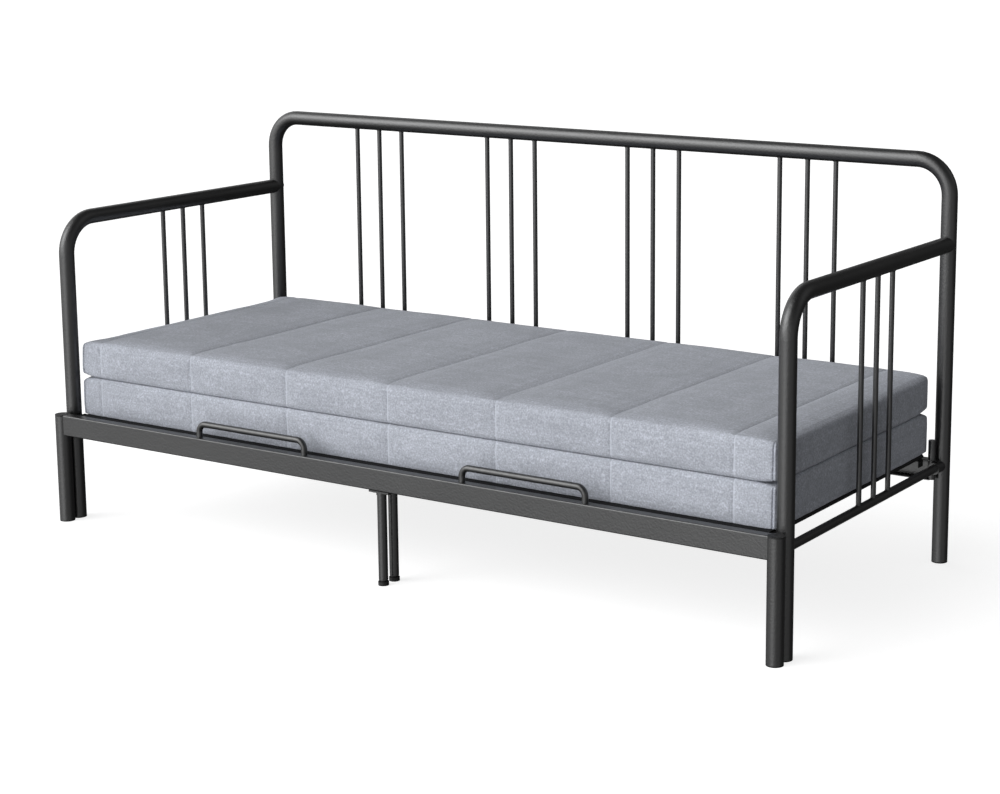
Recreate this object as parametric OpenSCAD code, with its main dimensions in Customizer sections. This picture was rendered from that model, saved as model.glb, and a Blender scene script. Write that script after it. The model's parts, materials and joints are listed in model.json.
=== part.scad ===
// Extendable day-bed: a fixed tubular frame with arms and a spindle back, a pull-out front
// half whose slats run between the fixed slats, and two stacked foam mattresses.
// Millimetres, +Z up, +X along the length, -Y towards the front. The origin is on the floor
// under the middle of the bed.

/* [Overall size] */
// Length over the end tubes
bed_length = 2070; // [1900:10:2300]
// Depth from the pull-out legs to the backs of the bolt heads
bed_depth = 883; // [800:1:1000]
// Height over the top rail
bed_height = 979; // [900:1:1050]

/* [Frame tube] */
// Outside diameter of the frame tube
tube_d = 38; // [32:1:42]
// Wall of the frame tube
tube_wall = 1.5; // [1:0.5:2.5]
// Bend radius of the back frame, to the tube's centre line
back_bend_r = 82; // [60:1:110]
// Bend radius of the arms, to the tube's centre line
arm_bend_r = 88; // [60:1:110]
// Height of the arm tube's centre line
arm_z = 766; // [700:1:800]
// Distance between the centres of an arm's leg and the pull-out leg in front of it
leg_pitch = 40; // [39:1:60]

/* [Spindles] */
// Outside diameter of a spindle
spindle_d = 12; // [10:1:16]
// Distance between spindles in a group of three
spindle_pitch = 75; // [50:1:90]
// Middle of an inner back group, from the centre of the bed
inner_group_x = 216; // [180:1:260]
// Middle of an outer back group, from the centre of the bed
outer_group_x = 648; // [580:1:720]
// Middle of an arm's group, forward of the back frame
arm_group_back = 381; // [250:1:450]

/* [Lower bars] */
// Height of the centre line of the lower bars
lower_bar_z = 238.5; // [220:0.5:260]
// Outside diameter of the end bars
end_bar_d = 20; // [16:1:25]
// Outside diameter of the back's lower bar
back_bar_d = 22; // [16:1:25]

/* [Pull-out front] */
// Height of the front rail's section
rail_h = 52; // [40:1:60]
// Depth of the front rail's section
rail_w = 25; // [20:1:30]
// Height of the rail's top above the floor
rail_top_z = 277; // [260:1:300]
// How far the front half pulls out
pullout_travel = 720; // [600:1:720]
// Diameter of the rod in the pull handles
handle_d = 15; // [12:1:18]
// Height of a pull handle's rod above the rail's top, to its centre line
handle_h = 34; // [28:1:60]
// Length of a pull handle, between the centre lines of its feet
handle_length = 326; // [200:1:400]
// Middle of a pull handle, from the centre of the bed
handle_x = 390; // [300:1:600]
// Bend radius of a pull handle, to the rod's centre line
handle_bend_r = 20; // [14:1:26]

/* [Slats] */
// Number of slats on the pull-out half
moving_slat_count = 15; // [11:2:17]
// Width of a slat
slat_w = 56; // [40:1:60]
// Thickness of a slat
slat_h = 10; // [8:1:14]
// Height of the slats' tops
slat_top_z = 269.5; // [260:0.5:275]

/* [Centre legs] */
// Outside diameter of the centre legs
centre_leg_d = 22; // [18:1:25]
// Diameter of the levelling feet
foot_d = 25; // [22:1:30]

/* [Mattresses] */
// Length of a mattress
mattress_length = 1976; // [1900:1:1980]
// Width of a mattress
mattress_width = 776; // [700:1:776]
// Thickness of a mattress
mattress_h = 98; // [80:1:120]
// Thickness of the cover
cover_t = 3; // [2:1:5]
// Corner radius of a mattress, seen from above
mattress_corner_r = 20; // [10:1:60]

/* [Hidden] */
$fn = 64;

black_steel = [0.17, 0.17, 0.175];
black_plastic = [0.06, 0.06, 0.06];
zinc = [0.35, 0.35, 0.36];
grey_fabric = [0.60, 0.62, 0.66];
foam_colour = [0.92, 0.90, 0.84];

tube_r = tube_d / 2;
tube_in_r = tube_r - tube_wall;
thin_wall = 1.5;
post_x = bed_length / 2 - tube_r;
bolt_head_h = 3;
back_y = bed_depth / 2 - bolt_head_h - tube_r;
pullout_y = -bed_depth / 2 + tube_r;
arm_y = pullout_y + leg_pitch;
top_rail_z = bed_height - tube_r;

// Plastic ends of the tubes: a flange as wide as the tube and a plug inside it
end_flange = 3;
end_plug = 14;
plug_gap = 0.1;

// Front rail
rail_front_y = pullout_y - 13;
rail_back_y = rail_front_y + rail_w;
rail_y = rail_front_y + rail_w / 2;
rail_bottom_z = rail_top_z - rail_h;
rail_edge_r = 3;

// Slats, and the pads that lift them off the beams
slat_bottom_z = slat_top_z - slat_h;
pad_h = 3;
beam_top_z = slat_bottom_z - pad_h;
glide_gap = 0.3;
slat_span = 2 * (post_x - tube_r - 9) - slat_w;
slat_pitch = slat_span / (moving_slat_count - 1);
slat_wall = 1;

// Fixed beam between the arm legs
beam_w = 20;
beam_h = 30;
beam_x = post_x - tube_r - 9;
beam_bottom_z = beam_top_z - beam_h;

// Rear slat rail, a channel that opens to the front
rear_rail_w = 25;
rear_rail_h = 49;
rear_rail_t = 2;
rear_rail_back_y = back_y - tube_r + 1;
rear_rail_front_y = rear_rail_back_y - rear_rail_w;
rear_rail_bottom_z = beam_top_z - rear_rail_h;

// Pegs that join the rear rail to the collars on the end bars
peg_r = 9;
peg_x = post_x - 14;
peg_y = back_y - 29.5;
peg_top_z = 302;
collar_r = 14;
collar_length = 30;

// Tie bar under the back ends of the moving slats
tie_w = 25;
tie_h = 15;
tie_x = beam_x - 3;
tie_back_y = rear_rail_front_y - 3;
tie_front_y = tie_back_y - tie_w;

// Ledge and cover strip behind the front rail
ledge_w = 16;
ledge_h = 22;
ledge_t = 3;
cover_strip_gap = 0.5;

// Bolts through the back posts
bolt_r = 4;
bolt_hole_r = 4.25;
thread_gap = 0.05;
bolt_head_r = 8;
insert_length = 20;
insert_from_post = 2;

// Centre legs
centre_leg_r = centre_leg_d / 2;
centre_leg_in_r = centre_leg_r - thin_wall;
foot_h = 9;
neck_r = 7;
neck_h = 4;
centre_leg_bottom_z = foot_h + neck_h;
stud_r = 4;
stud_top_z = 40;
insert_top_z = 34;
plate_h = 4;
plate_length = 56;
plate_screw_x = 20;
screw_r = 2.4;
screw_hole_r = 2.5;
screw_head_r = 5;
screw_head_h = 3;
weld_collar_r = 12.5;
weld_collar_h = 6;

// Mattresses
mattress_gap = 0.5;
mattress_back_y = back_y - tube_r - 1.5;
mattress_front_y = mattress_back_y - mattress_width;
mattress_y = mattress_back_y - mattress_width / 2;
lower_mattress_z = slat_top_z + mattress_gap;
upper_mattress_z = lower_mattress_z + mattress_h + mattress_gap;

// Places of the repeated parts
function moving_slat_x(i) = -slat_span / 2 + i * slat_pitch;
function fixed_slat_x(i) = moving_slat_x(i) + slat_pitch / 2;
fixed_slat_count = moving_slat_count - 1;

// ---------------------------------------------------------------- shapes

// A ring, the section of a tube
module ring(r, wall) {
    difference() {
        circle(r = r);
        circle(r = r - wall);
    }
}

// A tube that stands from z0 to z1
module tube_z(x, y, z0, z1, r, wall) {
    translate([x, y, z0]) linear_extrude(z1 - z0) ring(r, wall);
}

// A tube along X from x0 to x1
module tube_x(x0, x1, y, z, r, wall) {
    translate([x0, y, z]) rotate([90, 0, 90]) linear_extrude(x1 - x0) ring(r, wall);
}

// A tube along Y from y0 to y1
module tube_y(x, y0, y1, z, r, wall) {
    translate([x, y1, z]) rotate([90, 0, 0]) linear_extrude(y1 - y0) ring(r, wall);
}

// A round solid along Y from y0 to y1
module rod_y(x, y0, y1, z, r) {
    translate([x, y1, z]) rotate([90, 0, 0]) cylinder(h = y1 - y0, r = r);
}

// A round solid along X from x0 to x1
module rod_x(x0, x1, y, z, r) {
    translate([x0, y, z]) rotate([0, 90, 0]) cylinder(h = x1 - x0, r = r);
}

// A round solid that stands from z0 to z1
module rod_z(x, y, z0, z1, r) {
    translate([x, y, z0]) cylinder(h = z1 - z0, r = r);
}

// A box between two corners
module box(x0, x1, y0, y1, z0, z1) {
    translate([x0, y0, z0]) cube([x1 - x0, y1 - y0, z1 - z0]);
}

// A quarter bend that starts towards +X and ends towards +Z
module bend(bend_r, r, wall) {
    rotate([90, 0, 0]) rotate_extrude(angle = 90) translate([bend_r, 0]) ring(r, wall);
}

// A rectangle with round corners, centred
module round_rectangle(w, h, r) {
    square([w - 2 * r, h], center = true);
    square([w, h - 2 * r], center = true);
    for (sx = [-1, 1])
        for (sy = [-1, 1])
            translate([sx * (w / 2 - r), sy * (h / 2 - r)]) circle(r = r);
}

// The outside of a back post and of an arm leg, which other tubes are shaped to fit
module post_outside(side) {
    rod_z(side * post_x, back_y, 0, top_rail_z, tube_r);
}

module arm_leg_outside(side) {
    rod_z(side * post_x, arm_y, 0, arm_z, tube_r);
}

// A plastic glide that closes the bottom of a tube
module bottom_glide(x, y, r, in_r) {
    rod_z(x, y, 0, end_flange, r);
    rod_z(x, y, end_flange, end_flange + end_plug, in_r - plug_gap);
}

// ---------------------------------------------------------------- back frame

module back_frame_tube() {
    color(black_steel)
    difference() {
        union() {
            for (side = [-1, 1])
                tube_z(side * post_x, back_y, end_flange, top_rail_z - back_bend_r, tube_r, tube_wall);
            for (side = [0, 1])
                mirror([side, 0, 0])
                translate([post_x - back_bend_r, back_y, top_rail_z - back_bend_r])
                bend(back_bend_r, tube_r, tube_wall);
            tube_x(-post_x + back_bend_r, post_x - back_bend_r, back_y, top_rail_z, tube_r, tube_wall);
        }
        for (side = [-1, 1])
            for (z = [lower_bar_z, arm_z])
                rod_y(side * post_x, back_y - bed_depth / 4, back_y + tube_d, z, bolt_hole_r);
    }
}

module back_spindle(x) {
    difference() {
        tube_z(x, back_y, lower_bar_z, top_rail_z, spindle_d / 2, thin_wall);
        rod_x(x - spindle_d, x + spindle_d, back_y, top_rail_z, tube_r);
        rod_x(x - spindle_d, x + spindle_d, back_y, lower_bar_z, back_bar_d / 2);
    }
}

module back_spindle_group(middle_x) {
    color(black_steel)
    for (i = [-1, 0, 1])
        back_spindle(middle_x + i * spindle_pitch);
}

module back_lower_bar() {
    color(black_steel)
    difference() {
        tube_x(-post_x, post_x, back_y, lower_bar_z, back_bar_d / 2, thin_wall);
        for (side = [-1, 1])
            post_outside(side);
    }
}

module back_post_glides() {
    color(black_plastic)
    for (side = [-1, 1])
        bottom_glide(side * post_x, back_y, tube_r, tube_in_r);
}

// ---------------------------------------------------------------- arms

module arm_tube(side) {
    x = side * post_x;
    color(black_steel)
    difference() {
        union() {
            tube_z(x, arm_y, end_flange, arm_z - arm_bend_r, tube_r, tube_wall);
            translate([x, arm_y + arm_bend_r, arm_z - arm_bend_r])
                rotate([0, 0, -90])
                bend(arm_bend_r, tube_r, tube_wall);
            tube_y(x, arm_y + arm_bend_r, back_y, arm_z, tube_r, tube_wall);
        }
        post_outside(side);
    }
}

module arm_spindles(side) {
    x = side * post_x;
    color(black_steel)
    for (i = [-1, 0, 1]) {
        y = back_y - arm_group_back + i * spindle_pitch;
        difference() {
            tube_z(x, y, lower_bar_z, arm_z, spindle_d / 2, thin_wall);
            rod_y(x, y - spindle_d, y + spindle_d, arm_z, tube_r);
            rod_y(x, y - spindle_d, y + spindle_d, lower_bar_z, end_bar_d / 2);
        }
    }
}

module end_bar(side) {
    color(black_steel)
    difference() {
        tube_y(side * post_x, arm_y, back_y, lower_bar_z, end_bar_d / 2, thin_wall);
        post_outside(side);
        arm_leg_outside(side);
    }
}

module end_bar_collars() {
    color(black_steel)
    for (side = [-1, 1])
        difference() {
            tube_y(side * post_x, back_y - tube_r - collar_length, back_y, lower_bar_z,
                collar_r, collar_r - end_bar_d / 2);
            post_outside(side);
        }
}

// Plugs in the ends of the arms and end bars, which the bolts screw into
module arm_end_inserts() {
    y1 = back_y - tube_r - insert_from_post;
    y0 = y1 - insert_length;
    color(black_plastic)
    for (side = [-1, 1])
        for (end = [[arm_z, tube_in_r], [lower_bar_z, end_bar_d / 2 - thin_wall]])
            difference() {
                rod_y(side * post_x, y0, y1, end[0], end[1] - plug_gap);
                rod_y(side * post_x, y0 - 1, y1 + 1, end[0], bolt_r + thread_gap);
            }
}

module arm_bolts() {
    color(zinc)
    for (side = [-1, 1])
        for (z = [lower_bar_z, arm_z]) {
            rod_y(side * post_x, back_y - tube_r - insert_length, back_y + tube_r, z, bolt_r);
            difference() {
                rod_y(side * post_x, back_y, back_y + tube_r + bolt_head_h, z, bolt_head_r);
                post_outside(side);
            }
        }
}

module arm_leg_glides() {
    color(black_plastic)
    for (side = [-1, 1])
        bottom_glide(side * post_x, arm_y, tube_r, tube_in_r);
}

// ---------------------------------------------------------------- fixed base

module rear_slat_rail() {
    color(black_steel)
    difference() {
        box(-peg_x, peg_x, rear_rail_front_y, rear_rail_back_y, rear_rail_bottom_z, beam_top_z);
        box(-post_x, post_x, rear_rail_front_y - 1, rear_rail_back_y - rear_rail_t,
            rear_rail_bottom_z + rear_rail_t, beam_top_z - rear_rail_t);
        for (side = [-1, 1])
            rod_z(side * peg_x, peg_y, 0, peg_top_z, peg_r);
    }
}

module rear_corner_pegs() {
    color(black_steel)
    for (side = [-1, 1])
        difference() {
            rod_z(side * peg_x, peg_y, rear_rail_bottom_z, peg_top_z, peg_r);
            rod_z(side * peg_x, peg_y, rear_rail_bottom_z - 1, peg_top_z - 2, peg_r - 2);
            rod_y(side * post_x, back_y - tube_r - collar_length, back_y, lower_bar_z, collar_r);
        }
}

module fixed_front_beam() {
    y0 = arm_y - beam_w / 2;
    y1 = arm_y + beam_w / 2;
    color(black_steel)
    difference() {
        box(-beam_x, beam_x, y0, y1, beam_bottom_z, beam_top_z);
        box(-beam_x - 1, beam_x + 1, y0 + thin_wall, y1 - thin_wall,
            beam_bottom_z + thin_wall, beam_top_z - thin_wall);
        for (side = [-1, 1])
            rod_z(side * plate_screw_x, arm_y, 0, beam_bottom_z + beam_h / 2, screw_hole_r);
    }
}

module beam_end_brackets() {
    y0 = arm_y - beam_w / 2;
    y1 = arm_y + beam_w / 2;
    color(black_steel)
    for (side = [0, 1])
        mirror([side, 0, 0])
        difference() {
            box(beam_x, post_x, y0, y1, beam_bottom_z, beam_top_z);
            arm_leg_outside(1);
        }
}

// A flat slat with round edges, which runs from y0 to y1
module slat(x, y0, y1) {
    translate([x, y1, slat_top_z - slat_h / 2])
        rotate([90, 0, 0])
        linear_extrude(y1 - y0)
        difference() {
            slat_section(0);
            slat_section(slat_wall);
        }
}

module slat_section(inset) {
    square([slat_w - slat_h, slat_h - 2 * inset], center = true);
    for (side = [-1, 1])
        translate([side * (slat_w - slat_h) / 2, 0]) circle(r = slat_h / 2 - inset);
}

module fixed_slats() {
    color(black_steel)
    for (i = [0:fixed_slat_count - 1])
        slat(fixed_slat_x(i), arm_y - beam_w / 2, rear_rail_back_y);
}

// A flat pad under a slat
module slat_pad(x, y0, y1, top_z) {
    box(x - slat_w / 2 + 4, x + slat_w / 2 - 4, y0, y1, beam_top_z, top_z);
}

module fixed_slat_pads() {
    color(black_plastic)
    for (i = [0:fixed_slat_count - 1]) {
        slat_pad(fixed_slat_x(i), arm_y - beam_w / 2, arm_y + beam_w / 2, slat_bottom_z);
        slat_pad(fixed_slat_x(i), rear_rail_front_y, rear_rail_back_y, slat_bottom_z);
    }
}

// Glides on the beam, which the moving slats run over
module beam_glides() {
    color(black_plastic)
    for (i = [0:moving_slat_count - 1])
        slat_pad(moving_slat_x(i), arm_y - beam_w / 2, arm_y + beam_w / 2, slat_bottom_z - glide_gap);
}

// ---------------------------------------------------------------- centre legs

module centre_leg(y, top_z) {
    color(black_steel)
    tube_z(0, y, centre_leg_bottom_z, top_z - plate_h, centre_leg_r, thin_wall);
}

// A plate with two screw holes and a collar round the leg
module centre_leg_plate(y, width, top_z) {
    bottom_z = top_z - plate_h;
    color(black_steel)
    difference() {
        union() {
            box(-plate_length / 2, plate_length / 2, y - width / 2, y + width / 2, bottom_z, top_z);
            rod_z(0, y, bottom_z - weld_collar_h, bottom_z, weld_collar_r);
        }
        rod_z(0, y, 0, bottom_z, centre_leg_r);
        for (side = [-1, 1])
            rod_z(side * plate_screw_x, y, 0, top_z + 1, screw_hole_r);
    }
}

module centre_leg_screws(y, top_z) {
    bottom_z = top_z - plate_h;
    color(zinc)
    for (side = [-1, 1]) {
        rod_z(side * plate_screw_x, y, bottom_z - screw_head_h, bottom_z, screw_head_r);
        rod_z(side * plate_screw_x, y, bottom_z, top_z + 6, screw_r);
    }
}

module centre_leg_insert(y) {
    color(black_plastic)
    difference() {
        rod_z(0, y, centre_leg_bottom_z, insert_top_z, centre_leg_in_r - plug_gap);
        rod_z(0, y, 0, insert_top_z + 1, stud_r + 2 * thread_gap);
    }
}

module centre_foot(y) {
    color(black_plastic)
    union() {
        rod_z(0, y, 0, foot_h, foot_d / 2);
        rod_z(0, y, foot_h, centre_leg_bottom_z - glide_gap, neck_r);
        rod_z(0, y, centre_leg_bottom_z - glide_gap, stud_top_z, stud_r);
    }
}

// ---------------------------------------------------------------- pull-out half

module front_rail() {
    color(black_steel)
    difference() {
        translate([-post_x, rail_y, rail_top_z - rail_h / 2])
            rotate([90, 0, 90])
            linear_extrude(2 * post_x)
            difference() {
                round_rectangle(rail_w, rail_h, rail_edge_r);
                round_rectangle(rail_w - 2 * thin_wall, rail_h - 2 * thin_wall, rail_edge_r - thin_wall);
            }
        for (side = [-1, 1]) {
            rod_z(side * post_x, pullout_y, 0, bed_height, tube_r);
            rod_z(side * plate_screw_x, rail_y, 0, rail_bottom_z + rail_h / 2, screw_hole_r);
        }
    }
}

module pullout_leg(side) {
    color(black_steel)
    tube_z(side * post_x, pullout_y, end_flange, rail_top_z - end_flange, tube_r, tube_wall);
}

module pullout_leg_caps() {
    color(black_plastic)
    for (side = [-1, 1])
        translate([side * post_x, pullout_y, rail_top_z])
        mirror([0, 0, 1])
        bottom_glide(0, 0, tube_r, tube_in_r);
}

module pullout_leg_glides() {
    color(black_plastic)
    for (side = [-1, 1])
        bottom_glide(side * post_x, pullout_y, tube_r, tube_in_r);
}

// A low bent rod that keeps the mattress back and serves as a handle
module pull_handle(middle_x) {
    r = handle_d / 2;
    half = handle_length / 2;
    foot_top_z = rail_top_z + handle_h - handle_bend_r;
    color(black_steel)
    translate([middle_x, rail_y, 0])
    union() {
        rod_x(-half + handle_bend_r, half - handle_bend_r, 0, rail_top_z + handle_h, r);
        for (side = [0, 1])
            mirror([side, 0, 0]) {
                translate([half - handle_bend_r, 0, foot_top_z])
                    rotate([90, 0, 0])
                    rotate_extrude(angle = 90)
                    translate([handle_bend_r, 0])
                    circle(r = r);
                rod_z(half, 0, rail_top_z, foot_top_z, r);
            }
    }
}

module rail_ledge() {
    color(black_steel)
    union() {
        box(-tie_x, tie_x, rail_back_y, rail_back_y + ledge_w, slat_bottom_z - ledge_t, slat_bottom_z);
        box(-tie_x, tie_x, rail_back_y, rail_back_y + ledge_t, slat_bottom_z - ledge_h, slat_bottom_z);
    }
}

// A flat bar over the front ends of the slats, which fills the gap between rail and mattress
module front_cover_strip() {
    z0 = slat_top_z + glide_gap;
    color(black_steel)
    box(-tie_x, tie_x, rail_back_y, mattress_front_y - cover_strip_gap, z0, z0 + ledge_t);
}

module moving_slats() {
    color(black_steel)
    for (i = [0:moving_slat_count - 1])
        slat(moving_slat_x(i), rail_back_y, tie_back_y);
}

module moving_slat_pads() {
    color(black_plastic)
    for (i = [0:moving_slat_count - 1])
        slat_pad(moving_slat_x(i), tie_front_y, tie_back_y, slat_bottom_z);
}

module moving_tie_bar() {
    color(black_steel)
    difference() {
        box(-tie_x, tie_x, tie_front_y, tie_back_y, beam_top_z - tie_h, beam_top_z);
        box(-tie_x - 1, tie_x + 1, tie_front_y + thin_wall, tie_back_y - thin_wall,
            beam_top_z - tie_h + thin_wall, beam_top_z - thin_wall);
    }
}

module tie_bar_end_caps() {
    cap_t = 2;
    y0 = tie_front_y + thin_wall + plug_gap;
    y1 = tie_back_y - thin_wall - plug_gap;
    z0 = beam_top_z - tie_h + thin_wall + plug_gap;
    z1 = beam_top_z - thin_wall - plug_gap;
    color(black_plastic)
    for (side = [0, 1])
        mirror([side, 0, 0]) {
            box(tie_x, tie_x + cap_t, tie_front_y, tie_back_y, beam_top_z - tie_h, beam_top_z);
            box(tie_x - end_plug, tie_x, y0, y1, z0, z1);
        }
}

// ---------------------------------------------------------------- mattresses

module mattress_block(z, inset) {
    translate([0, mattress_y, z + inset])
        linear_extrude(mattress_h - 2 * inset)
        round_rectangle(mattress_length - 2 * inset, mattress_width - 2 * inset, mattress_corner_r - inset);
}

module mattress_cover(z) {
    color(grey_fabric)
    difference() {
        mattress_block(z, 0);
        mattress_block(z, cover_t);
    }
}

module mattress_foam(z) {
    color(foam_colour)
    mattress_block(z, cover_t);
}

// ---------------------------------------------------------------- nodes

back_frame_tube();
back_spindle_group(-outer_group_x);  // back_spindles_outer_left
back_spindle_group(-inner_group_x);  // back_spindles_inner_left
back_spindle_group(inner_group_x);  // back_spindles_inner_right
back_spindle_group(outer_group_x);  // back_spindles_outer_right
back_lower_bar();
arm_tube(-1);  // left_arm_tube
arm_tube(1);  // right_arm_tube
arm_spindles(-1);  // left_arm_spindles
arm_spindles(1);  // right_arm_spindles
end_bar(-1);  // left_end_bar
end_bar(1);  // right_end_bar
end_bar_collars();
arm_end_inserts();
arm_bolts();
rear_slat_rail();
rear_corner_pegs();
fixed_front_beam();
beam_end_brackets();
fixed_slats();
fixed_slat_pads();
beam_glides();
back_post_glides();
arm_leg_glides();
centre_leg(arm_y, beam_bottom_z);  // rear_centre_leg
centre_leg_plate(arm_y, 26, beam_bottom_z);  // rear_centre_leg_plate
centre_leg_screws(arm_y, beam_bottom_z);  // rear_centre_leg_screws
centre_leg_insert(arm_y);  // rear_centre_leg_insert
centre_foot(arm_y);  // rear_centre_foot
front_rail();
pullout_leg(-1);  // left_pullout_leg
pullout_leg(1);  // right_pullout_leg
pullout_leg_caps();
pullout_leg_glides();
pull_handle(-handle_x);  // left_pull_handle
pull_handle(handle_x);  // right_pull_handle
rail_ledge();
front_cover_strip();
moving_slats();
moving_slat_pads();
moving_tie_bar();
tie_bar_end_caps();
centre_leg(rail_y, rail_bottom_z);  // front_centre_leg
centre_leg_plate(rail_y, rail_w, rail_bottom_z);  // front_centre_leg_plate
centre_leg_screws(rail_y, rail_bottom_z);  // front_centre_leg_screws
centre_leg_insert(rail_y);  // front_centre_leg_insert
centre_foot(rail_y);  // front_centre_foot
mattress_cover(lower_mattress_z);  // lower_mattress_cover
mattress_foam(lower_mattress_z);  // lower_mattress_foam
mattress_cover(upper_mattress_z);  // upper_mattress_cover
mattress_foam(upper_mattress_z);  // upper_mattress_foam
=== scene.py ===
"""Visual model of an extendable tubular-steel day-bed with two stacked foam mattresses.

Lengths are in metres, in the frame of the CAD model: +X along the bed, +Y to the back, +Z up.
"""

import json
import math
from collections import namedtuple

import bpy
import numpy as np
from mathutils import Euler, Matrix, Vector, noise


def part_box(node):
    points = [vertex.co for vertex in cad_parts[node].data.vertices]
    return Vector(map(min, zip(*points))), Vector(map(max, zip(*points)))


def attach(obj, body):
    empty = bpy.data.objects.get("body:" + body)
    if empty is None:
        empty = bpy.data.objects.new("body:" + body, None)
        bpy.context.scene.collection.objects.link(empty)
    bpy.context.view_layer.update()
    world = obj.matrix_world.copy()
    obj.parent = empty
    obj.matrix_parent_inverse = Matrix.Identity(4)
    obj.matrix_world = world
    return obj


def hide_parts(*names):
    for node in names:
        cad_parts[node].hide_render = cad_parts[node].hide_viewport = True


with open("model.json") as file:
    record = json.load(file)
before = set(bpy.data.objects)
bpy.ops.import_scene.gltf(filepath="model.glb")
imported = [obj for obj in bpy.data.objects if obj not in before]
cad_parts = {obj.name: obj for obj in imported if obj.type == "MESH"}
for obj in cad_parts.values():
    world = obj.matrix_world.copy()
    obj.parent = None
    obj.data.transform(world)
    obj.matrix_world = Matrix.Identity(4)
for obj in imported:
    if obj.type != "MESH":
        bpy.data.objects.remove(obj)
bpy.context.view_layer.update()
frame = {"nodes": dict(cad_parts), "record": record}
MM = 0.001

# ------------------------------------------------------------------ node trees

# Sockets of the colour mix node, whose names aren't unique
MIX_FACTOR, MIX_FIRST, MIX_SECOND, MIX_RESULT = 0, 6, 7, 2


def node(tree, kind, inputs=(), **settings):
    """Adds a shader node. An input's value is a constant, or a socket that gets linked to it."""
    made = tree.nodes.new(kind)
    for key, value in settings.items():
        setattr(made, key, value)
    for key, value in dict(inputs).items():
        if isinstance(value, bpy.types.NodeSocket):
            tree.links.new(value, made.inputs[key])
        else:
            made.inputs[key].default_value = value
    return made


def new_material(name, **constants):
    """A material with its shader, and the place of each point in the CAD frame."""
    material = bpy.data.materials.new(name)
    material.use_nodes = True
    tree = material.node_tree
    shader = tree.nodes["Principled BSDF"]
    for key, value in constants.items():
        shader.inputs[key.replace("_", " ")].default_value = value
    place = node(tree, "ShaderNodeTexCoord").outputs["Object"]
    return material, tree, shader, place


def stretched(tree, place, scale):
    """Places scaled along each axis. A scale under one draws a texture out along that axis."""
    return node(tree, "ShaderNodeMapping", {"Vector": place, "Scale": scale}).outputs["Vector"]


def grain(tree, place, scale, detail=2.0, roughness=0.5):
    """Smooth random values about a half, with features about 1 / scale across."""
    made = node(
        tree,
        "ShaderNodeTexNoise",
        {"Vector": place, "Scale": scale, "Detail": detail, "Roughness": roughness},
    )
    return made.outputs["Fac"]


def threads(tree, place, axis, pitch):
    """A wave across one axis, from 0 to 1, for rows of threads."""
    scale_of_one_wave = 2 * math.pi / 20  # the scale that makes a wave one metre long
    made = node(
        tree,
        "ShaderNodeTexWave",
        {
            "Vector": place,
            "Scale": scale_of_one_wave / pitch,
            "Distortion": 0.6,
            "Detail": 1.0,
            "Detail Scale": 0.4,
        },
        bands_direction=axis,
    )
    return made.outputs["Fac"]


def sums(tree, *terms):
    """The sum of (socket, weight) pairs."""
    total = None
    for socket, weight in terms:
        inputs = {0: socket, 1: weight, 2: 0.0 if total is None else total}
        total = node(tree, "ShaderNodeMath", inputs, operation="MULTIPLY_ADD").outputs[0]
    return total


def shade(colour, factor):
    return tuple(c * factor for c in colour)


def ramp(tree, factor, stops):
    """Colours between stops, each (place, colour)."""
    made = node(tree, "ShaderNodeValToRGB", {"Fac": factor})
    elements = made.color_ramp.elements
    while len(elements) < len(stops):
        elements.new(0.5)
    for element, (place, colour) in zip(elements, stops):
        element.position = place
        element.color = (*colour, 1.0)
    return made.outputs["Color"]


def mottle(tree, shader, value, colour, darkest, lightest, low=0.35, high=0.65):
    """Colours the shader from a dark to a light shade as a value goes from low to high."""
    stops = [(low, shade(colour, darkest)), (high, shade(colour, lightest))]
    tree.links.new(ramp(tree, value, stops), shader.inputs["Base Color"])


def uneven_gloss(tree, shader, value, smoothest, roughest):
    """Makes the roughness follow a value that lies around a half."""
    inputs = {
        "Value": value,
        "From Min": 0.3,
        "From Max": 0.7,
        "To Min": smoothest,
        "To Max": roughest,
    }
    roughness = node(tree, "ShaderNodeMapRange", inputs).outputs["Result"]
    tree.links.new(roughness, shader.inputs["Roughness"])


def bump(tree, shader, height, strength, distance):
    inputs = {"Height": height, "Strength": strength, "Distance": distance}
    tree.links.new(node(tree, "ShaderNodeBump", inputs).outputs["Normal"], shader.inputs["Normal"])


# ------------------------------------------------------------------ materials


def powder_coat(name, colour, roughness, shine):
    """Baked powder coat: a fine orange peel, with slightly uneven colour and gloss."""
    material, tree, shader, place = new_material(name, Specular_IOR_Level=shine)
    cloud = grain(tree, place, scale=7.0, detail=3.0)
    speck = grain(tree, place, scale=420.0)
    peel = grain(tree, place, scale=190.0)
    mixed = sums(tree, (cloud, 0.6), (speck, 0.4))
    mottle(tree, shader, mixed, colour, 0.82, 1.18)
    uneven_gloss(tree, shader, mixed, roughness - 0.05, roughness + 0.05)
    height = sums(tree, (peel, 0.7), (speck, 0.3))
    bump(tree, shader, height, strength=0.5, distance=1.35 * MM)
    return material


def moulded_plastic(name, colour):
    """Black moulded plastic with a fine spark-eroded grain."""
    material, tree, shader, place = new_material(name, Specular_IOR_Level=0.4)
    cloud = grain(tree, place, scale=30.0)
    texture = grain(tree, place, scale=1100.0, detail=3.0, roughness=0.6)
    mottle(tree, shader, cloud, colour, 0.8, 1.25)
    uneven_gloss(tree, shader, texture, 0.5, 0.66)
    bump(tree, shader, texture, strength=0.4, distance=0.15 * MM)
    return material


def black_zinc(name, colour):
    """Blackened zinc on bolts and screws: dark metal with turned rings and a slight bloom."""
    material, tree, shader, place = new_material(name, Metallic=0.85)
    cloud = grain(tree, place, scale=160.0, detail=3.0)
    rings = grain(tree, stretched(tree, place, (1.0, 12.0, 1.0)), scale=260.0)
    mottle(tree, shader, cloud, colour, 0.7, 1.4, high=0.7)
    uneven_gloss(tree, shader, cloud, 0.32, 0.5)
    bump(tree, shader, rings, strength=0.2, distance=0.1 * MM)
    return material


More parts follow.
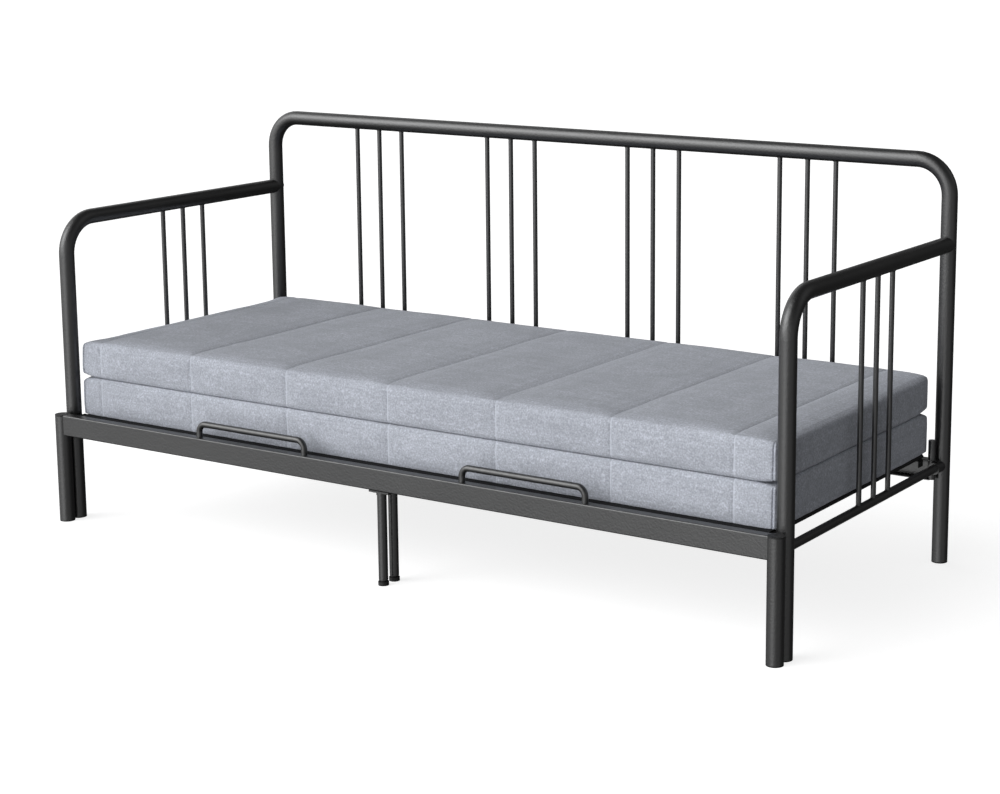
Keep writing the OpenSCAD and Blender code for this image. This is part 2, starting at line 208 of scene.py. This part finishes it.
def heather_weave(name, colour, thread_pitch=1.7 * MM):
    """Heathered woven cover: flecks in the yarn, soft clouds, and a painted highlight along the
    seam ridges.
    """
    material, tree, shader, place = new_material(
        name, Sheen_Weight=0.12, Sheen_Roughness=0.5, Specular_IOR_Level=0.12
    )
    weave = sums(tree, *((threads(tree, place, axis, thread_pitch), 1 / 3) for axis in "XYZ"))
    fibre = grain(tree, place, scale=800.0, roughness=0.6)
    fleck = grain(tree, place, scale=255.0, detail=1.5)
    slub = grain(tree, stretched(tree, place, (0.25, 1.0, 1.0)), scale=140.0, roughness=0.6)
    streak = grain(tree, stretched(tree, place, (0.3, 1.0, 1.0)), 34.0, detail=3.0, roughness=0.6)
    cloud = grain(tree, stretched(tree, place, (0.4, 1.0, 1.0)), scale=9.0)
    mixed = sums(
        tree,
        (fleck, 0.48),
        (fibre, 0.1),
        (slub, 0.12),
        (streak, 0.13),
        (cloud, 0.08),
        (weave, 0.09),
    )
    shades = [(0.36, 0.76), (0.44, 0.88), (0.5, 0.98), (0.56, 1.13), (0.64, 1.42)]
    heather = ramp(tree, mixed, [(stop, shade(colour, factor)) for stop, factor in shades])
    # painted highlight: a lighter colour on the ridge beside each cross seam, standing in for light
    # catching that ridge
    seam = node(tree, "ShaderNodeAttribute", attribute_name="seam_ridge_highlight").outputs["Fac"]
    inputs = {
        MIX_FACTOR: sums(tree, (seam, 0.75)),
        MIX_FIRST: heather,
        MIX_SECOND: (*shade(colour, 1.35), 1.0),
    }
    with_painted_seam_highlight = node(tree, "ShaderNodeMix", inputs, data_type="RGBA").outputs[MIX_RESULT]
    tree.links.new(with_painted_seam_highlight, shader.inputs["Base Color"])
    uneven_gloss(tree, shader, fleck, 0.82, 0.96)
    height = sums(tree, (weave, 0.2), (fibre, 0.2), (fleck, 0.6))
    bump(tree, shader, height, strength=0.7, distance=1.2 * MM)
    return material


def open_foam(name, colour):
    """Cream polyurethane foam with open cells."""
    material, tree, shader, place = new_material(
        name,
        Specular_IOR_Level=0.1,
        Subsurface_Weight=0.1,
        Subsurface_Radius=(4 * MM, 3 * MM, 2 * MM),
    )
    voronoi = node(tree, "ShaderNodeTexVoronoi", {"Vector": place, "Scale": 450.0})
    cells = voronoi.outputs["Distance"]
    cloud = grain(tree, place, scale=12.0)
    mixed = sums(tree, (cells, 0.5), (cloud, 0.5))
    mottle(tree, shader, mixed, colour, 0.8, 1.0, low=0.2, high=0.6)
    uneven_gloss(tree, shader, cells, 0.85, 1.0)
    bump(tree, shader, cells, strength=0.6, distance=0.6 * MM)
    return material


STEEL = (0.011, 0.011, 0.0112)
MATERIALS = {
    "frame_steel": powder_coat("powder_coat", STEEL, roughness=0.32, shine=1.0),
    "slat_steel": powder_coat("powder_coat_slats", STEEL, roughness=0.52, shine=0.28),
    "black_plastic": moulded_plastic("black_plastic", (0.014, 0.014, 0.014)),
    "zinc_fasteners": black_zinc("black_zinc", (0.10, 0.10, 0.105)),
    "mattress_fabric": heather_weave("heather_weave", (0.385, 0.403, 0.45)),
    "foam": open_foam("open_foam", (0.86, 0.80, 0.66)),
}
COVER_STRIP = powder_coat("powder_coat_strip", STEEL, roughness=0.7, shine=0.08)


def finish_cad_nodes():
    """Gives every CAD part the material of its slot, and the cover strip a flatter black."""
    for part in frame["record"]["subparts"]:
        mesh = frame["nodes"][part["node"]].data
        mesh.materials.clear()
        strip = part["node"] == "front_cover_strip"
        mesh.materials.append(COVER_STRIP if strip else MATERIALS[part["material_slot"]])


# ------------------------------------------------------------------ mesh helpers


def mesh_piece(name, vertices, faces, body, slot_name):
    """A new smooth piece that rides on a CAD body and takes its finish from a slot."""
    mesh = bpy.data.meshes.new(name)
    mesh.from_pydata([tuple(v) for v in vertices], [], faces)
    mesh.update()
    mesh.shade_smooth()
    mesh.materials.append(MATERIALS[slot_name])
    piece = bpy.data.objects.new(name, mesh)
    bpy.context.scene.collection.objects.link(piece)
    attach(piece, body)
    return piece


def swept_loops(loops, radius, sides=8):
    """Vertices and faces of round beads swept along closed loops of points."""
    vertices, faces = [], []
    for loop in loops:
        points = [Vector(p) for p in loop]
        middle = sum(points, Vector()) / len(points)
        start, count = len(vertices), len(points)
        for i, point in enumerate(points):
            along = (points[(i + 1) % count] - points[i - 1]).normalized()
            out = (point - middle).normalized()
            side = along.cross(out).normalized()
            out = side.cross(along).normalized()
            for k in range(sides):
                turn = 2 * math.pi * k / sides
                vertices.append(point + radius * (math.cos(turn) * out + math.sin(turn) * side))
        for i in range(count):
            for k in range(sides):
                a, b = start + i * sides, start + (i + 1) % count * sides
                faces.append((a + k, a + (k + 1) % sides, b + (k + 1) % sides, b + k))
    return vertices, faces


# ------------------------------------------------------------------ mattresses

SEAM_PITCH = 0.302  # between the seams across a mattress
SEAM_SHIFT = -0.017  # of the middle one from the bed's middle
SEAM_COUNT = 7
END_SEAM = 0.008  # from an end to the sewn edge beside it

# How far a skin starts inside its CAD block, before it swells
END_ROOM = -1.5 * MM
FRONT_ROOM = 1.2 * MM
BACK_ROOM = 7 * MM
BOTTOM_ROOM = 0.2 * MM

CELL = 0.013  # spacing of a skin's grid
SEAM_CLEARANCE = 11 * MM  # of the grid's even rings from a cross seam
CROSS_SEAM_RINGS = (-9, -5.5, -3.2, -2, -1.2, -0.4, 0.4, 1.2, 2.1, 3.2, 5.5, 9)  # in mm
END_SEAM_RINGS = (-4, -2.6, -1.6, -0.8, 0, 0.8, 1.6, 2.6, 4)  # in mm

CORNER_REACH = 0.027  # how far along its edges a corner draws in
BEARING_DEPTH = 1.5 * MM  # how close to a flat side the cloth is pressed against something
MOST_SWELL = 5 * MM
SWELL_FRAMES = 20
CLOTH = {
    "quality": 5,
    "mass": 0.25,
    "tension_stiffness": 18,
    "compression_stiffness": 18,
    "shear_stiffness": 8,
    "bending_stiffness": 1.5,
    "vertex_group_mass": "hold",
    "use_pressure": True,
    "uniform_pressure_force": 2.2,
}
FOAM_INSET = 7 * MM

Form = namedtuple(
    "Form",
    (
        "flat_top",  # whether another mattress lies on it
        "top_room",  # how far its skin starts under the top of its CAD block
        "side_r",  # radii of its upright edges,
        "bottom_r",  # its bottom edges,
        "top_r",  # its top edges,
        "end_r",  # and the top edge of an end, along X
        "low_pinch",  # how far its corners draw in at the bottom
        "high_pinch",  # and at the top
        "roll",  # how far its top rolls down at an end
    ),
)
LOWER_FORM = Form(
    flat_top=True,
    top_room=0.3 * MM,
    side_r=9 * MM,
    bottom_r=3 * MM,
    top_r=10 * MM,
    end_r=9 * MM,
    low_pinch=1.5 * MM,
    high_pinch=6 * MM,
    roll=0.0,
)
UPPER_FORM = Form(
    flat_top=False,
    top_room=3 * MM,
    side_r=9 * MM,
    bottom_r=11 * MM,
    top_r=22 * MM,
    end_r=42 * MM,
    low_pinch=6 * MM,
    high_pinch=3 * MM,
    roll=7 * MM,
)


def bell(distance, width):
    """One at no distance, which fades away to both sides."""
    return math.exp(-((distance / width) ** 2))


class Block:
    """A mattress before it swells: a box with round edges, softer along the top of its ends."""

    def __init__(self, low, high, form):
        self.low, self.high, self.form = low, high, form
        first = SEAM_SHIFT - SEAM_PITCH * (SEAM_COUNT - 1) / 2
        self.cross = [first + i * SEAM_PITCH for i in range(SEAM_COUNT)]
        self.ends = [low.x + END_SEAM, high.x - END_SEAM]
        self.middle = (low + high) / 2

    def to_seam(self, x):
        return min(abs(x - seam) for seam in self.cross + self.ends)

    def surface(self, x, y, z):
        """A point of the box's surface, moved onto the round edges, and the way out from there."""
        side, bottom, top = self.form.side_r, self.form.bottom_r, self.form.top_r
        height = max(0.0, (z - self.middle.z) / (self.high.z - self.middle.z))
        to_side = min(y - self.low.y, self.high.y - y)
        end = side + (self.form.end_r - side) * height**2 * (1 - bell(to_side, 0.045))
        inner_low = self.low + Vector((end, side, bottom))
        inner_high = self.high - Vector((end, side, top))
        inner = Vector(min(max(p, l), h) for p, l, h in zip((x, y, z), inner_low, inner_high))
        radii = (end, side, top if z > self.middle.z else bottom)
        unit = Vector((p - i) / r for p, i, r in zip((x, y, z), inner, radii)).normalized()
        point = inner + Vector(u * r for u, r in zip(unit, radii))
        return point, Vector(u / r for u, r in zip(unit, radii)).normalized()

    def pinched(self, point):
        """How a corner draws in along its upright edge, and how the top rolls down at its rim."""
        to_end = min(point.x - self.low.x, self.high.x - point.x)
        to_side = min(point.y - self.low.y, self.high.y - point.y)
        near_end, near_side = bell(to_end, CORNER_REACH), bell(to_side, CORNER_REACH)
        height = (point.z - self.middle.z) / (self.high.z - self.middle.z)
        if height > 0:
            end_roll = math.exp(-max(to_end, 0.0) / 0.03) * (1 - 0.6 * bell(to_side, 0.05))
            drop = near_end * near_side * self.form.high_pinch
            drop += self.form.roll * (end_roll + 0.3 * near_side)
        else:
            drop = near_end * near_side * self.form.low_pinch
        return Vector((0, 0, -height * abs(height) * drop))

    def hold(self, point):
        """How firmly the cloth stays: fully where it bears on something, nearly so at a seam."""
        bears_on_top = self.form.flat_top and point.z > self.high.z - BEARING_DEPTH
        if bears_on_top or point.z < self.low.z + BEARING_DEPTH:
            return 1.0
        return 0.97 if self.to_seam(point.x) < 0.6 * CELL else 0.0

    def sewn(self, point, out):
        """How far seams and uneven cloth move a point out, and how much painted seam highlight it
        gets there.
        """
        raised, seam_ridge_highlight = 0.0, 0.0
        for seam in self.cross:
            shape, painted_highlight = cross_seam(point.x - seam)
            raised, seam_ridge_highlight = raised + shape, seam_ridge_highlight + painted_highlight
        for seam, way in zip(self.ends, (-1, 1)):
            raised += abs(out.y) * corner_seam(way * (point.x - seam))
        ripple = noise.noise(Vector((point.x * 9, point.y * 34, point.z * 34)))
        raised += 0.8 * MM * bell(self.to_seam(point.x), 0.025) * ripple
        own = 3 * self.form.flat_top  # keeps the two mattresses from having the same dents
        raised += 1.5 * MM * noise.noise(Vector((point.x * 6, point.y * 6, point.z * 12 + own)))
        return raised, min(seam_ridge_highlight, 1.0)


def cross_seam(distance):
    """How far a seam across the mattress moves the cloth out, and how much painted highlight its
    ridge gets.
    """
    # the seam ridge's profile, which also masks the painted highlight
    seam_ridge_highlight = bell(distance - 1.5 * MM, 1.4 * MM)
    groove = 0.5 * MM * bell(distance + 0.9 * MM, 1.0 * MM) + 1.1 * MM * bell(distance, 7 * MM)
    return 0.4 * MM * seam_ridge_highlight - groove, seam_ridge_highlight


def corner_seam(distance):
    """How far the sewn edge beside a corner moves the cloth out: a tuck, and then a thin piping."""
    return 0.8 * MM * bell(distance - 4.5 * MM, 2 * MM) - 3.4 * MM * bell(distance, 1.7 * MM)


def spaced(low, high, step, first, last):
    """Places from low to high, closer together within first of low and last of high."""
    near = [low + first * i / 4 for i in range(4)]
    inner = max(2, round((high - low - first - last) / step))
    middle = [low + first + (high - low - first - last) * i / inner for i in range(inner + 1)]
    far = [high - last * i / 4 for i in (3, 2, 1, 0)]
    return near + middle + far


def sewn_rings(block, coarse):
    """The coarse places along X, with more about each seam in place of those close to it."""
    rings = [x for x in coarse if all(abs(x - seam) > SEAM_CLEARANCE for seam in block.cross)]
    rings += [seam + d * MM for seam in block.cross for d in CROSS_SEAM_RINGS]
    rings += [seam + d * MM for seam in block.ends for d in END_SEAM_RINGS]
    return sorted(set(rings))


def skin_grid(xs, ys, zs):
    """The surface of a block as a grid: {(i, j, k): vertex index} and the quads, facing out."""
    nx, ny, nz = len(xs) - 1, len(ys) - 1, len(zs) - 1
    index = {}
    for i in range(nx + 1):
        for j in range(ny + 1):
            for k in range(nz + 1):
                if i in (0, nx) or j in (0, ny) or k in (0, nz):
                    index[i, j, k] = len(index)
    quads = []

    def quad(*corners):
        quads.append(tuple(index[corner] for corner in corners))

    for i in range(nx):
        for j in range(ny):
            quad((i, j, 0), (i, j + 1, 0), (i + 1, j + 1, 0), (i + 1, j, 0))
            quad((i, j, nz), (i + 1, j, nz), (i + 1, j + 1, nz), (i, j + 1, nz))
        for k in range(nz):
            quad((i, 0, k), (i + 1, 0, k), (i + 1, 0, k + 1), (i, 0, k + 1))
            quad((i, ny, k), (i, ny, k + 1), (i + 1, ny, k + 1), (i + 1, ny, k))
    for j in range(ny):
        for k in range(nz):
            quad((0, j, k), (0, j, k + 1), (0, j + 1, k + 1), (0, j + 1, k))
            quad((nx, j, k), (nx, j + 1, k), (nx, j + 1, k + 1), (nx, j, k + 1))
    return index, quads


def inflate(rest, quads, hold):
    """Swells a closed skin with Blender's cloth solver, and says how far each vertex moves.

    hold is how firmly each vertex stays, from 0 to 1.
    """
    mesh = bpy.data.meshes.new("swelling")
    mesh.from_pydata([tuple(v) for v in rest], [], quads)
    pad = bpy.data.objects.new("swelling", mesh)
    bpy.context.scene.collection.objects.link(pad)
    group = pad.vertex_groups.new(name="hold")
    for i, weight in enumerate(hold):
        group.add([i], weight, "REPLACE")
    cloth = pad.modifiers.new("cloth", "CLOTH")
    for key, value in CLOTH.items():
        setattr(cloth.settings, key, value)
    cloth.settings.effector_weights.gravity = 0
    cloth.collision_settings.use_collision = False
    cloth.point_cache.frame_start, cloth.point_cache.frame_end = 1, SWELL_FRAMES
    for step in range(1, SWELL_FRAMES + 1):
        bpy.context.scene.frame_set(step)
    swollen = pad.evaluated_get(bpy.context.evaluated_depsgraph_get()).to_mesh()
    moves = []
    for vertex, start in zip(swollen.vertices, rest):
        move = vertex.co - start
        if move.length > 0:
            move = move * (MOST_SWELL * math.tanh(move.length / MOST_SWELL) / move.length)
        moves.append(move)
    bpy.context.scene.frame_set(1)
    bpy.data.objects.remove(pad)
    bpy.data.meshes.remove(mesh)
    return moves


def mattress(name, body, cover, core, form):
    """A crowned foam mattress: a swollen skin drawn in at its seams, and the foam inside it."""
    low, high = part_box(cover)
    low = low + Vector((END_ROOM, FRONT_ROOM, BOTTOM_ROOM))
    high = high - Vector((END_ROOM, BACK_ROOM, form.top_room))
    block = Block(low, high, form)

    ys = spaced(low.y, high.y, CELL, form.side_r, form.side_r)
    zs = spaced(low.z, high.z, CELL, form.bottom_r, form.top_r)
    coarse = spaced(low.x, high.x, CELL, END_SEAM, END_SEAM)
    index, quads = skin_grid(coarse, ys, zs)
    rest = [block.surface(coarse[i], ys[j], zs[k])[0] for i, j, k in index]
    moves = inflate(rest, quads, [block.hold(p) for p in rest])

    def swelling(x, j, k):
        """The cloth's movement at a place between two rings of the coarse skin."""
        i = min(max(int(np.searchsorted(coarse, x)), 1), len(coarse) - 1)
        t = (x - coarse[i - 1]) / (coarse[i] - coarse[i - 1])
        ring = [moves[index[n, j, k]] for n in (i - 1, i) if (n, j, k) in index]
        return ring[0].lerp(ring[-1], t)

    fine = sewn_rings(block, coarse)
    fine_index, fine_quads = skin_grid(fine, ys, zs)
    vertices, seam_ridge_highlight = [], []
    for i, j, k in fine_index:
        point, out = block.surface(fine[i], ys[j], zs[k])
        bearing = out.z < -0.9 or (form.flat_top and out.z > 0.9)
        raised, painted_highlight = block.sewn(point, out)
        move = swelling(fine[i], j, k) + block.pinched(point)
        vertices.append(point + move + out * raised * (0.2 if bearing else 1.0))
        seam_ridge_highlight.append(painted_highlight)

    piece = mesh_piece(name, vertices, fine_quads, body, "mattress_fabric")
    # the painted seam highlight, kept on each vertex for the cover material
    piece.data.attributes.new("seam_ridge_highlight", "FLOAT", "POINT").data.foreach_set("value", seam_ridge_highlight)
    divide = piece.modifiers.new("divide", "SUBSURF")
    divide.levels = divide.render_levels = 1
    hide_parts(cover)

    scale = Vector(1 - 2 * FOAM_INSET / (h - l) for l, h in zip(low, high))
    inner = [block.middle + Vector(a * b for a, b in zip(p - block.middle, scale)) for p in rest]
    foam = mesh_piece(core.replace("_foam", "_foam_block"), inner, quads, body, "foam")
    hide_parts(core)


# ------------------------------------------------------------------ welds

WELD_RADIUS = 1.1 * MM
ROD_REACH = 15 * MM  # vertices of one rod stand closer together than this


def ring_on_bar(rod, bar, bar_axis, above, turns=28):
    """Where an upright rod's surface meets a bar's: a closed loop about the rod."""
    (x, y, radius), (z, bar_radius) = rod, bar
    loop = []
    for i in range(turns):
        t = 2 * math.pi * i / turns
        dx, dy = radius * math.cos(t), radius * math.sin(t)
        across = dy if bar_axis == "X" else dx
        rise = math.sqrt(bar_radius**2 - across**2)
        loop.append((x + dx, y + dy, z + (rise if above else -rise)))
    return loop


def rods_of(node_name):
    """The x, y and radius of each upright rod in a node, from its vertices grouped by place."""
    groups = []
    for vertex in frame["nodes"][node_name].data.vertices:
        x, y = vertex.co.x, vertex.co.y
        for group in groups:
            if abs(group[0][0] - x) < ROD_REACH and abs(group[0][1] - y) < ROD_REACH:
                group.append((x, y))
                break
        else:
            groups.append([(x, y)])
    rods = []
    for group in groups:
        xs, ys = zip(*group)
        rods.append(((min(xs) + max(xs)) / 2, (min(ys) + max(ys)) / 2, (max(xs) - min(xs)) / 2))
    return rods


def bar_of(node_name):
    """The height and radius of a straight level bar."""
    low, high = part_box(node_name)
    return (low.z + high.z) / 2, (high.z - low.z) / 2


def weld_piece(name, rods, top_bar, bottom_bar, bar_axis):
    """Fillet welds at both ends of upright rods that stand between two level bars."""
    loops = []
    for rod in rods:
        loops.append(ring_on_bar(rod, top_bar, bar_axis, above=False))
        loops.append(ring_on_bar(rod, bottom_bar, bar_axis, above=True))
    vertices, faces = swept_loops(loops, WELD_RADIUS)
    mesh_piece(name, vertices, faces, "daybed_frame", "frame_steel")


def spindle_welds():
    """Small fillet welds where the spindles meet the tubes above and below them."""
    back_low, back_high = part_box("back_frame_tube")
    tube_r = (back_high.y - back_low.y) / 2
    groups = ("outer_left", "inner_left", "inner_right", "outer_right")
    rods = [rod for group in groups for rod in rods_of(f"back_spindles_{group}")]
    top_bar = (back_high.z - tube_r, tube_r)
    weld_piece("back_spindle_welds", rods, top_bar, bar_of("back_lower_bar"), "X")
    for side in ("left", "right"):
        arm_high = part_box(f"{side}_arm_tube")[1]
        top_bar = (arm_high.z - tube_r, tube_r)
        rods = rods_of(f"{side}_arm_spindles")
        weld_piece(f"{side}_arm_spindle_welds", rods, top_bar, bar_of(f"{side}_end_bar"), "Y")


# ------------------------------------------------------------------ floor, light, camera

STUDIO_LIGHT = {  # how far each soft light is turned from +X, how high it stands, its strength
    "key": (232, 31, 5.25),
    "front fill": (262, -8, 1.75),
    "left fill": (200, 3, 0.87),
    "front right": (300, 5, 0.55),
    "right": (345, -10, 0.36),
    "rear right": (30, 32, 0.28),
    "rear left": (150, 22, 0.9),
}
AMBIENT = 0.05
SHARPNESS = 9.0  # how fast a soft light fades away from its own direction


def pale_floor():
    """A wide pale floor, which takes the object's shadow but throws no light back at it."""
    size = 40.0
    corners = [(-size, -size, 0), (size, -size, 0), (size, size, 0), (-size, size, 0)]
    mesh = bpy.data.meshes.new("floor")
    mesh.from_pydata(corners, [], [(0, 1, 2, 3)])
    material, tree, shader, place = new_material(
        "floor",
        Roughness=0.9,
        Specular_IOR_Level=0.0,
        Emission_Color=(1, 1, 1, 1),
        Emission_Strength=0.8,
    )
    tones = grain(tree, place, scale=1.5)
    mottle(tree, shader, tones, (0.5, 0.5, 0.5), 0.98, 1.02, low=0.3, high=0.7)
    mesh.materials.append(material)
    floor = bpy.data.objects.new("floor", mesh)
    floor.visible_diffuse = floor.visible_glossy = False
    bpy.context.scene.collection.objects.link(floor)


def studio():
    """Broad soft lights all around, in the world: a key high at the front left, and weaker fills.

    The camera itself sees plain white there.
    """
    world = bpy.data.worlds.new("studio")
    bpy.context.scene.world = world
    world.use_nodes = True
    tree = world.node_tree
    way = node(tree, "ShaderNodeTexCoord").outputs["Generated"]

    def calculated(operation, *inputs):
        return node(tree, "ShaderNodeMath", dict(enumerate(inputs)), operation=operation).outputs[0]

    def soft_light(turn, rise):
        """Light that fades away from one direction."""
        turn, rise = math.radians(turn), math.radians(rise)
        level = math.cos(rise)
        towards = (level * math.cos(turn), level * math.sin(turn), math.sin(rise))
        facing = node(tree, "ShaderNodeVectorMath", {0: way, 1: towards}, operation="DOT_PRODUCT")
        lit = calculated("MAXIMUM", facing.outputs["Value"], 0.0)
        return calculated("POWER", lit, SHARPNESS)

    lights = [(soft_light(turn, rise), power) for turn, rise, power in STUDIO_LIGHT.values()]
    strength = calculated("ADD", sums(tree, *lights), AMBIENT)
    shone = {"Color": (0.99, 0.995, 1, 1), "Strength": strength}
    seen = {"Color": (1, 1, 1, 1), "Strength": 1.0}
    by_camera = node(tree, "ShaderNodeLightPath").outputs["Is Camera Ray"]
    backgrounds = [node(tree, "ShaderNodeBackground", b).outputs[0] for b in (shone, seen)]
    mixed = node(tree, "ShaderNodeMixShader", dict(enumerate([by_camera, *backgrounds])))
    tree.links.new(mixed.outputs[0], tree.nodes["World Output"].inputs["Surface"])


def camera():
    """A long lens, a little above the bed and to the right of its front."""
    data = bpy.data.cameras.new("camera")
    data.sensor_width = 36.0
    data.lens = 77.54
    data.shift_x, data.shift_y = -0.12, -0.08
    data.clip_end = 100
    turn, tilt = math.radians(31.80), math.radians(10.80)
    eye = bpy.data.objects.new("camera", data)
    eye.rotation_euler = Euler((math.radians(90) - tilt, 0, turn))
    eye.location = (2.973, -4.184, 1.537)
    bpy.context.scene.collection.objects.link(eye)
    bpy.context.scene.camera = eye


# ------------------------------------------------------------------ the model

bpy.context.scene.view_settings.view_transform = "Standard"
finish_cad_nodes()
for level, form in (("lower", LOWER_FORM), ("upper", UPPER_FORM)):
    mattress(
        f"{level}_mattress",
        f"{level}_mattress",
        f"{level}_mattress_cover",
        f"{level}_mattress_foam",
        form,
    )
spindle_welds()
pale_floor()
studio()
camera()
